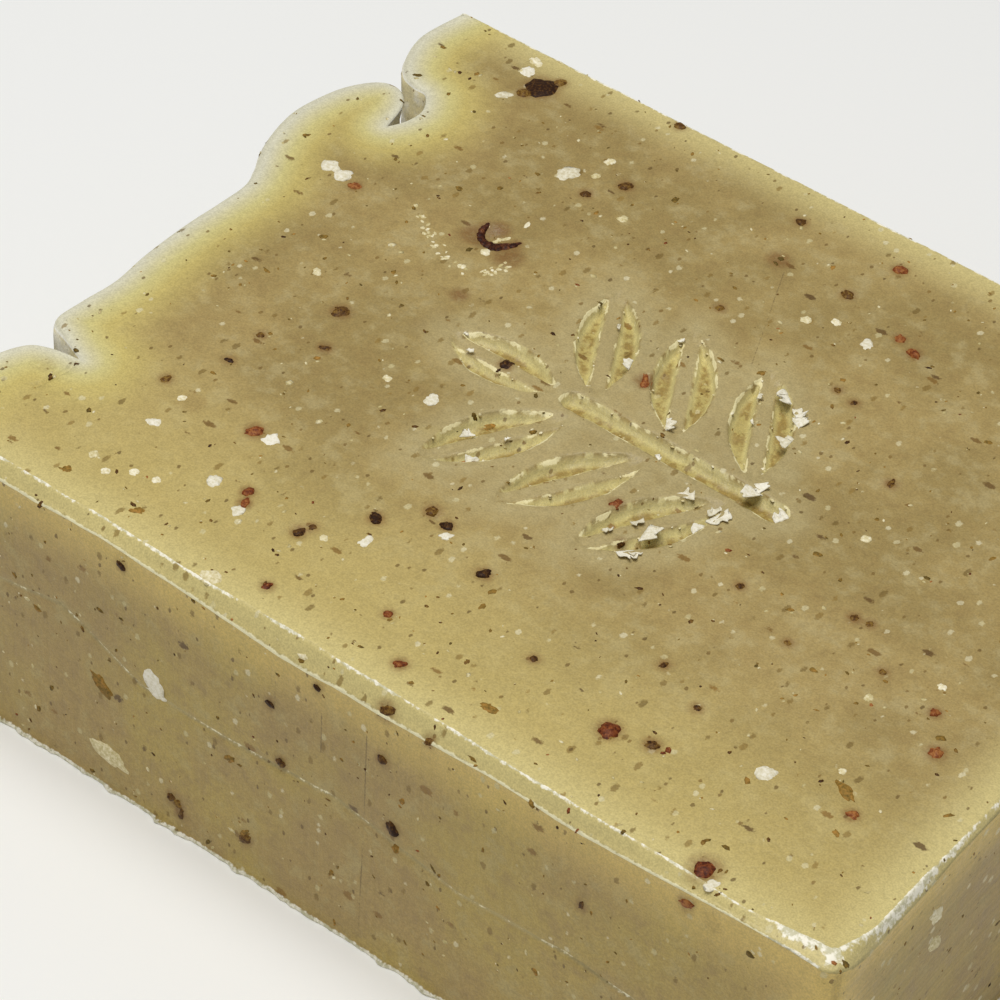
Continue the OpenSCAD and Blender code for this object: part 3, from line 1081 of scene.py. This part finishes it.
class Bits:
    """Many small blobs of one kind, kept as one piece; sunk is how deep their middles lie."""

    def __init__(self, name, flat, lumps, sunk):
        self.name, self.flat, self.lumps, self.sunk = name, flat, lumps, sunk
        self.corners, self.faces, self.tones, self.count = [], [], [], 0

    def take(self, corners, faces, tone):
        self.corners.append(corners)
        self.faces += (faces + self.count).tolist()
        self.tones.append(np.full(len(corners), tone))
        self.count += len(corners)

    def add(self, place, normal, along, length, width, tone, detail):
        """A blob on the skin at place, lying along a tangent direction."""
        unit, faces = BALLS[detail]
        seed = int(abs(place[0] * 97 + place[1] * 57 + place[2] * 31) * 10) % 5000
        swell = 1 + self.lumps * rough(unit * 2.4, 1.0, seed)
        thick = min(width, 1.2) * self.flat
        grow = 1 / math.sqrt(1 - self.sunk ** 2)
        shape = unit * swell[:, None] * [length * grow / 2, width * grow / 2, thick / 2]
        turn = np.array([along, np.cross(normal, along), normal])
        world = place + shape @ turn - normal * thick * self.sunk / 2
        world[:, 2] = np.maximum(world[:, 2], -0.02)
        self.take(world, faces, tone)

    def curl(self, place, along, over, length, width, bend, tone):
        """A thin ragged shaving that starts at place and bends up towards over."""
        u, v = (grid.ravel() for grid in np.meshgrid(
            np.linspace(-1, 1, CURL_ALONG), np.linspace(0, 1, CURL_ACROSS), indexing="ij"))
        seed = int(abs(place[0] * 97 + place[1] * 57) * 10) % 5000
        ragged = 1 + CURL_RAGGED * noise(np.column_stack([u * 3.5, v * 0.6]), 1.0, seed)
        skew = rng.uniform(-CURL_SKEW, CURL_SKEW)
        share = np.abs(u - skew) / (1 + skew * np.sign(skew - u))
        bend = min(bend, CURL_RISE / width)
        radius = width * (1 - 0.8 * share ** 3) * ragged / bend
        turn = CURL_START + v * bend
        lift = 0.10 * noise(np.column_stack([u * 2, v]), 1.0, seed + 1) - 0.04
        wave = CURL_WAVE * length * noise(np.column_stack([v * 2 + 5, u * 3]), 1.0, seed + 2)
        away = radius * (np.sin(turn) - math.sin(CURL_START))
        rise = radius * (math.cos(CURL_START) - np.cos(turn)) + lift
        level = np.column_stack([u * length / 2 + wave, away, rise])
        raised = level + CURL_THICK * np.column_stack([0 * u, -np.sin(turn), np.cos(turn)])
        axes = np.array([along, over, [0, 0, 1]])
        self.take(place + np.vstack([level, raised]) @ axes, CURL_FACES, tone)

    def build(self, material):
        tones = {"tone": np.concatenate(self.tones)}
        dress(to_mesh(self.name, np.vstack(self.corners), self.faces, tones), material)


def dress(piece, material):
    piece.data.materials.append(material)
    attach(piece, BODY)


def tangent(normal, wish):
    flat = wish - normal * np.dot(wish, normal)
    return flat / np.linalg.norm(flat)


class Surface:
    """The finished skin, for putting things on it."""

    def __init__(self, corners, faces):
        triangles = []
        for face in faces:
            triangles += [face[:3]] if len(face) == 3 else [face[:3], [face[0], face[2], face[3]]]
        self.corners, self.triangles = corners, np.array(triangles)
        self.tree = BVHTree.FromPolygons(corners.tolist(), triangles)
        a, b, c = (corners[self.triangles[:, k]] for k in range(3))
        cross = np.cross(b - a, c - a)
        self.areas = np.linalg.norm(cross, axis=1) / 2

    def under(self, pixel):
        """Place and normal where a pixel of the photograph meets the skin, or None."""
        ray = pixel_ray(pixel)
        place, normal, _, _ = self.tree.ray_cast(Vector(EYE), Vector(ray).normalized())
        return (np.array(place), np.array(normal)) if place else None

    def under_place(self, place):
        """Where the skin lies under a place of the top face."""
        return np.array(self.tree.ray_cast(Vector((*place, TOP + 5)), Vector((0, 0, -1)))[0])

    def scattered(self, count):
        """Random places on the skin, each with its normal."""
        chosen = rng.choice(len(self.areas), count, p=self.areas / self.areas.sum())
        for index in chosen:
            a, b, c = self.corners[self.triangles[index]]
            u, v = sorted(rng.uniform(0, 1, 2))
            normal = np.cross(b - a, c - a)
            yield a * u + b * (v - u) + c * (1 - v), normal / np.linalg.norm(normal)


# Bits that the photograph shows: photo x and y, length and width in pixels, and the lean
# in degrees from level, counter-clockwise
BLACK_SEEDS = [
    (541, 89, 44, 23, 8), (506, 365, 14, 11, 30), (299, 533, 18, 10, 15), (376, 519, 15, 10, -25),
    (447, 526, 14, 8, -10), (484, 574, 18, 9, 10), (392, 829, 9, 16, 0), (229, 360, 9, 5, -30),
    (377, 516, 12, 6, -35), (270, 704, 12, 5, -35), (121, 566, 5, 12, 25), (317, 688, 10, 5, -40)]
DARK_SEEDS = [
    (586, 194, 14, 8, 10), (166, 379, 12, 9, 40), (261, 335, 10, 7, 20), (341, 312, 22, 12, 10),
    (325, 348, 18, 5, -10), (171, 797, 11, 7, -45), (178, 804, 15, 8, -65), (181, 814, 13, 7, -95),
    (524, 93, 15, 10, 0), (560, 83, 15, 9, 25), (626, 186, 18, 9, 10), (432, 511, 15, 10, 20),
    (313, 527, 10, 6, 10), (621, 545, 10, 7, 30), (740, 586, 10, 7, 10), (534, 659, 10, 7, 0),
    (664, 665, 11, 7, 30), (697, 708, 10, 7, 0), (652, 745, 18, 11, 0), (891, 484, 12, 8, 60),
    (848, 295, 14, 10, -30), (720, 308, 10, 7, 10), (801, 222, 12, 9, -30), (838, 390, 9, 7, 0),
    (854, 403, 9, 6, 20), (788, 643, 9, 6, -30), (854, 618, 12, 8, 10), (870, 624, 10, 7, 30),
    (883, 672, 9, 7, 0), (825, 194, 14, 9, -30), (680, 126, 16, 8, -20), (386, 711, 18, 14, 10),
    (429, 741, 10, 8, 0), (382, 760, 8, 14, 25), (281, 763, 8, 14, 10), (581, 905, 10, 7, 60),
    (245, 839, 14, 12, 20)]
RED_SEEDS = [
    (645, 383, 12, 24, 0), (255, 431, 24, 9, 5), (248, 492, 14, 9, 30), (245, 503, 14, 8, 60),
    (705, 871, 30, 24, 0), (609, 730, 24, 18, -10), (686, 904, 18, 8, -20), (400, 664, 16, 9, 0),
    (935, 713, 12, 9, 10), (936, 753, 16, 13, 0), (852, 815, 14, 9, -20), (900, 270, 16, 10, -30),
    (900, 339, 12, 9, 0), (914, 354, 12, 14, 10), (267, 586, 14, 7, 20), (388, 614, 11, 7, 0),
    (355, 186, 14, 7, -20), (616, 503, 14, 8, 30)]
# Dark curl of a seed coat in its hollow, then soft spots under the surface
PIT = [
    (487, 226, 8, 5, 60), (484, 229, 9, 7, 60), (482, 232, 9, 8, 75), (481, 236, 9, 9, 90),
    (482, 240, 9, 9, -70), (485, 244, 10, 9, -45), (489, 246, 10, 9, -25), (494, 248, 11, 8, -10),
    (499, 248, 12, 7, 0), (505, 247, 13, 6, 5), (511, 246, 13, 5, 10), (517, 244, 10, 3, 15)]
SPOTS = [
    (779, 260, 24, 18, 0), (459, 295, 18, 12, 0), (508, 257, 40, 16, 0), (474, 236, 34, 22, 0),
    (500, 231, 24, 14, 0)]
AMBER_BITS = [
    (102, 685, 36, 11, -52), (138, 511, 18, 8, -10), (67, 469, 12, 8, 0), (489, 708, 26, 9, -15),
    (845, 790, 12, 26, 20), (491, 427, 16, 12, 10), (245, 833, 10, 8, 20), (230, 759, 10, 8, 0)]
PALE_FLAKES = [
    (330, 166, 18, 12, -20), (343, 175, 20, 12, 0), (567, 174, 26, 12, 5), (610, 162, 12, 7, 10),
    (596, 176, 12, 6, 0), (623, 219, 11, 9, 20), (317, 272, 11, 9, 0), (182, 398, 11, 7, 10),
    (153, 422, 16, 8, 0), (94, 454, 12, 8, 0), (105, 471, 11, 8, 20), (134, 472, 12, 8, 0),
    (156, 480, 10, 7, 0), (214, 481, 16, 11, -10), (387, 378, 9, 7, 0), (432, 400, 14, 12, 40),
    (271, 440, 16, 13, 30), (238, 511, 14, 10, 20), (324, 538, 9, 7, 0), (446, 536, 14, 7, 0),
    (366, 541, 14, 10, 40), (806, 320, 13, 8, 0), (836, 322, 10, 8, 10), (867, 344, 14, 10, -10),
    (866, 539, 11, 9, 20), (767, 773, 22, 15, 10), (942, 687, 10, 8, 0), (869, 698, 11, 9, 10),
    (842, 771, 10, 8, 0), (527, 72, 16, 10, 0), (712, 885, 14, 10, 20), (154, 685, 34, 15, -58),
    (486, 252, 11, 7, 0), (506, 239, 11, 4, 10), (488, 226, 6, 4, 0), (527, 225, 5, 9, -20),
    (495, 242, 8, 4, 20), (500, 240, 7, 4, -20), (484, 233, 5, 4, 0), (504, 95, 18, 6, 0),
    (536, 62, 10, 14, 20), (524, 71, 12, 4, 0), (529, 89, 5, 3, 0), (937, 915, 10, 20, -20),
    (935, 943, 9, 20, -10), (533, 61, 9, 7, 0), (303, 657, 12, 7, -20)]
CREAM_FLAKES = [(110, 756, 50, 13, -41), (210, 576, 22, 14, -20)]
SCATTERED = 2600
# Flakes longer than this are white
LARGE_PX = 13
# Trail of crumbs round the hollow
TRAIL = ((417, 203), (420, 215), (426, 232), (436, 246), (449, 264), (466, 270), (494, 273),
         (512, 264))
TRAIL_CRUMBS = 60
CRUMB_SHARE = 0.3
# White shavings on the edges of the pressed design: photo x and y, length and width in pixels
CURLS = [
    (801, 395, 20, 9), (844, 416, 15, 8), (863, 430, 14, 8), (835, 456, 18, 9), (761, 483, 20, 12),
    (685, 491, 16, 8), (726, 520, 28, 10), (781, 518, 15, 8), (644, 531, 25, 9), (630, 562, 22, 10),
    (647, 583, 15, 8), (759, 485, 14, 9)]
SMALL_CURLS = 16
# A shaving bends up from the face, so it is longer and wider than it looks in the photograph
CURL_LONGER, CURL_WIDER = 1.1, 2.0
EDGE_CRUMBS = 90


def listed_bits(surface, bits, listed, tones, scale=1.0):
    """Bits at their places in the photograph, as large as they look there."""
    for x, y, length, width, lean in listed:
        turn = math.radians(lean)
        met = surface.under((x, y))
        if met is None:
            continue
        place, normal = met
        ends = []
        for reach, ahead in ((length / 2, (math.cos(turn), -math.sin(turn))),
                             (width / 2, (math.sin(turn), math.cos(turn)))):
            a, b = (on_plane((x + s * reach * ahead[0], y + s * reach * ahead[1]), place, normal)
                    for s in (-1, 1))
            ends.append(b - a)
        along = tangent(normal, ends[0])
        across = np.cross(normal, along)
        bits.add(place, normal, along, np.linalg.norm(ends[0]) * scale,
                 abs(np.dot(ends[1], across)) * scale, rng.uniform(*tones), detail=3)


def scatter_bits(surface, kinds, crumbs):
    """Small bits all over the skin; each kind has its chance and range of length.

    Some have a pale crumb beside them.
    """
    chances = np.array([chance for _, chance, _, _ in kinds])
    for place, normal in surface.scattered(SCATTERED):
        bits, _, lengths, tones = kinds[rng.choice(len(kinds), p=chances / chances.sum())]
        along = tangent(normal, rng.normal(size=3))
        length = lengths[0] * (lengths[1] / lengths[0]) ** rng.uniform(0, 1) ** 1.6
        bits.add(place, normal, along, length, length * rng.uniform(0.4, 0.8),
                 rng.uniform(*tones), detail=1 if length < 0.7 else 2)
        if bits is not crumbs and rng.uniform() < CRUMB_SHARE:
            beside = place + np.cross(normal, along) * length * rng.uniform(0.4, 0.7)
            crumbs.add(beside, normal, along, length * 0.6, length * 0.35,
                       rng.uniform(-0.2, 0.6), detail=1)


def press_edges():
    """Places on the edges of the pressed design, with the way along and across each edge."""
    found = []
    for shape in PRESSED:
        ring = shape.ring(0)
        clear = np.min([other.distance(ring) for other in PRESSED if other is not shape],
                       axis=0) > 0.2
        across = inward(ring)
        along = np.column_stack([across[:, 1], -across[:, 0]])
        found.append(np.column_stack([ring, along, across])[clear])
    return np.vstack(found)


def add_shavings(surface, pale, white):
    """Shavings and crumbs that the stamp left along the edges of the pressed design."""
    edges = press_edges()
    level = TOP - 0.03
    chips = []
    for x, y, length, width in CURLS:
        nearest = np.argmin(np.linalg.norm(edges[:, :2] - on_top((x, y)), axis=1))
        scale = DISTANCE / FOCAL_PX
        chips.append((edges[nearest], length * scale * CURL_LONGER, width * scale * CURL_WIDER))
    for edge in edges[rng.choice(len(edges), SMALL_CURLS)]:
        length = rng.uniform(0.4, 1.2)
        chips.append((edge, length, length * rng.uniform(0.4, 0.8)))
    for edge, length, width in chips:
        side = rng.choice((-1, 1))
        turn = rng.normal(0, 0.3)
        along, over = edge[2:4], edge[4:6] * side
        along, over = (along * math.cos(turn) + over * math.sin(turn),
                       over * math.cos(turn) - along * math.sin(turn))
        white.curl(np.append(edge[:2], level), np.append(along, 0), np.append(over, 0),
                   length, width * 0.8, rng.uniform(0.3, 0.9), rng.uniform(0.5, 0.9))
    trail, aside = along_line(TRAIL, 0.05)
    chosen = rng.choice(len(trail), TRAIL_CRUMBS)
    spread = rng.normal(0, 0.22, TRAIL_CRUMBS)[:, None]
    up = np.array([0, 0, 1.0])
    for places, sizes in ((edges[rng.choice(len(edges), EDGE_CRUMBS), :2], (0.14, 0.38)),
                          (trail[chosen] + aside[chosen] * spread, (0.24, 0.55))):
        for place in places + rng.normal(0, 0.06, places.shape):
            length = rng.uniform(*sizes)
            pale.add(surface.under_place(place), up, tangent(up, rng.normal(size=3)), length,
                     length * rng.uniform(0.45, 0.8), rng.uniform(0.0, 0.8), detail=2)


def make_bar():
    skin = build_skin()
    corners = np.vstack(skin.corners)
    surface = Surface(corners, skin.faces)
    attributes = {name: np.concatenate(values) for name, values in skin.masks.items()}
    attributes["crest"] = crest_distance(corners, side_rows())
    attributes["edge"] = edge_distance(corners)
    attributes["near"] = corners[:, 1] + HALF_W
    attributes["stain"] = stains(corners, surface)
    bar = to_mesh("soap_bar", corners, skin.faces, attributes)
    dress(bar, Soap().build())
    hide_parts(NODE)
    return surface


# Kinds of bits: piece, its flatness, lumps and sunk share, and its material with the dark,
# middle and pale tone
KINDS = {
    "dark": ("dark_seeds", (0.9, 0.30, 0.6), "dark_seed",
        ((46, 24, 8), (96, 64, 24), (142, 110, 48))),
    "red": ("red_seeds", (0.9, 0.32, 0.55), "red_seed",
        ((72, 28, 12), (128, 66, 30), (172, 114, 60))),
    "coat": ("seed_coat", (0.8, 0.10, 0.4), "seed_coat",
        ((44, 16, 8), (88, 46, 24), (142, 92, 52))),
    "amber": ("herb_flecks", (0.5, 0.40, 0.6), "herb",
        ((96, 78, 32), (138, 108, 46), (176, 130, 60))),
    "white": ("white_flakes", (0.35, 0.40, 0.5), "white_flake",
        ((204, 192, 156), (228, 220, 192), (246, 240, 222))),
    "pale": ("pale_flakes", (0.4, 0.34, 0.5), "pale_flake",
        ((198, 182, 126), (226, 213, 168), (252, 244, 216))),
}
HERB_ROUGHNESS = 0.6
# Scattered bits: share, lengths in mm and tones
SPREAD = (("dark", 0.26, (0.22, 0.7), (0.1, 0.9)),
          ("red", 0.04, (0.30, 0.7), (0.2, 1.0)),
          ("amber", 0.48, (0.25, 0.8), (0.0, 0.8)),
          ("pale", 0.20, (0.25, 0.7), (-0.2, 0.6)))


def make_bits(surface):
    kinds = {key: Bits(piece, *shape) for key, (piece, shape, _, _) in KINDS.items()}
    dark, red, coat, amber, white, pale = kinds.values()
    listed_bits(surface, dark, BLACK_SEEDS, (0.0, 0.2))
    listed_bits(surface, dark, DARK_SEEDS, (0.3, 0.8), scale=0.85)
    listed_bits(surface, red, RED_SEEDS, (0.2, 0.8), scale=0.9)
    listed_bits(surface, coat, PIT, (0.1, 0.4))
    listed_bits(surface, amber, AMBER_BITS, (0.3, 0.8), scale=0.9)
    listed_bits(surface, white, [flake for flake in PALE_FLAKES if flake[2] > LARGE_PX], (0.3, 0.9))
    listed_bits(surface, pale, [flake for flake in PALE_FLAKES if flake[2] <= LARGE_PX], (0.2, 0.8),
                scale=0.9)
    listed_bits(surface, pale, CREAM_FLAKES, (0.3, 0.6))
    scatter_bits(surface, [(kinds[row[0]], *row[1:]) for row in SPREAD], pale)
    add_shavings(surface, pale, white)
    for key, (_, _, material, tones) in KINDS.items():
        roughness = HERB_ROUGHNESS if key == "amber" else BIT_ROUGHNESS
        kinds[key].build(bit_material(material, *(srgb(*tone) for tone in tones), roughness))


# Stage

FLOOR = srgb(247, 247, 244)
FLOOR_HALF, FLOOR_ROUGHNESS = 3000, 0.6
WORLD_LEVEL = 0.27
LAMP_PLACE, LAMP_TARGET, LAMP_SIZE, LAMP_LEVEL = (-40, -70, 620), (0, 0, 12), 350, 0.78


def make_stage():
    corners = [(x * FLOOR_HALF, y * FLOOR_HALF, 0) for x, y in ((-1, -1), (1, -1), (1, 1), (-1, 1))]
    floor = to_mesh("floor", corners, [[0, 1, 2, 3]], {})
    material = bpy.data.materials.new("floor")
    material.use_nodes = True
    inputs = material.node_tree.nodes["Principled BSDF"].inputs
    inputs["Base Color"].default_value, inputs["Roughness"].default_value = FLOOR, FLOOR_ROUGHNESS
    floor.data.materials.append(material)


def lamp(name, place, target, size, level):
    """Area lamp that adds the given share of full light at its target; places in mm."""
    data = bpy.data.lights.new(name, "AREA")
    data.size = size * MM
    way = Vector(np.subtract(target, place) * MM)
    data.energy = level * math.pi ** 2 * way.length ** 2
    lamp_object = bpy.data.objects.new(name, data)
    lamp_object.location = Vector(np.array(place, float) * MM)
    lamp_object.rotation_euler = way.to_track_quat("-Z", "Y").to_euler()
    bpy.context.scene.collection.objects.link(lamp_object)


def make_light():
    """Pale studio all round, which lights weakly, and a soft lamp overhead."""
    world = bpy.data.worlds.new("studio")
    world.use_nodes = True
    nodes, links = world.node_tree.nodes, world.node_tree.links
    path = nodes.new("ShaderNodeLightPath")
    level = nodes.new("ShaderNodeMapRange")
    level.inputs["To Min"].default_value, level.inputs["To Max"].default_value = WORLD_LEVEL, 1
    nodes["Background"].inputs["Color"].default_value = (1, 1, 1, 1)
    links.new(path.outputs["Is Camera Ray"], level.inputs["Value"])
    links.new(level.outputs["Result"], nodes["Background"].inputs["Strength"])
    bpy.context.scene.world = world
    lamp("key", LAMP_PLACE, LAMP_TARGET, LAMP_SIZE, LAMP_LEVEL)


def make_camera():
    data = bpy.data.cameras.new("camera")
    data.sensor_width = SENSOR_MM
    data.lens = FOCAL_PX * SENSOR_MM / PHOTO
    data.clip_start = 0.01
    camera = bpy.data.objects.new("camera", data)
    turn = Matrix(np.column_stack([RIGHT, UP, BACK]).tolist()).to_4x4()
    camera.matrix_world = Matrix.Translation(Vector(EYE * MM)) @ turn
    bpy.context.scene.collection.objects.link(camera)
    bpy.context.scene.camera = camera


make_camera()
make_stage()
make_light()
make_bits(make_bar())

bpy.context.scene.view_settings.view_transform = "Standard"
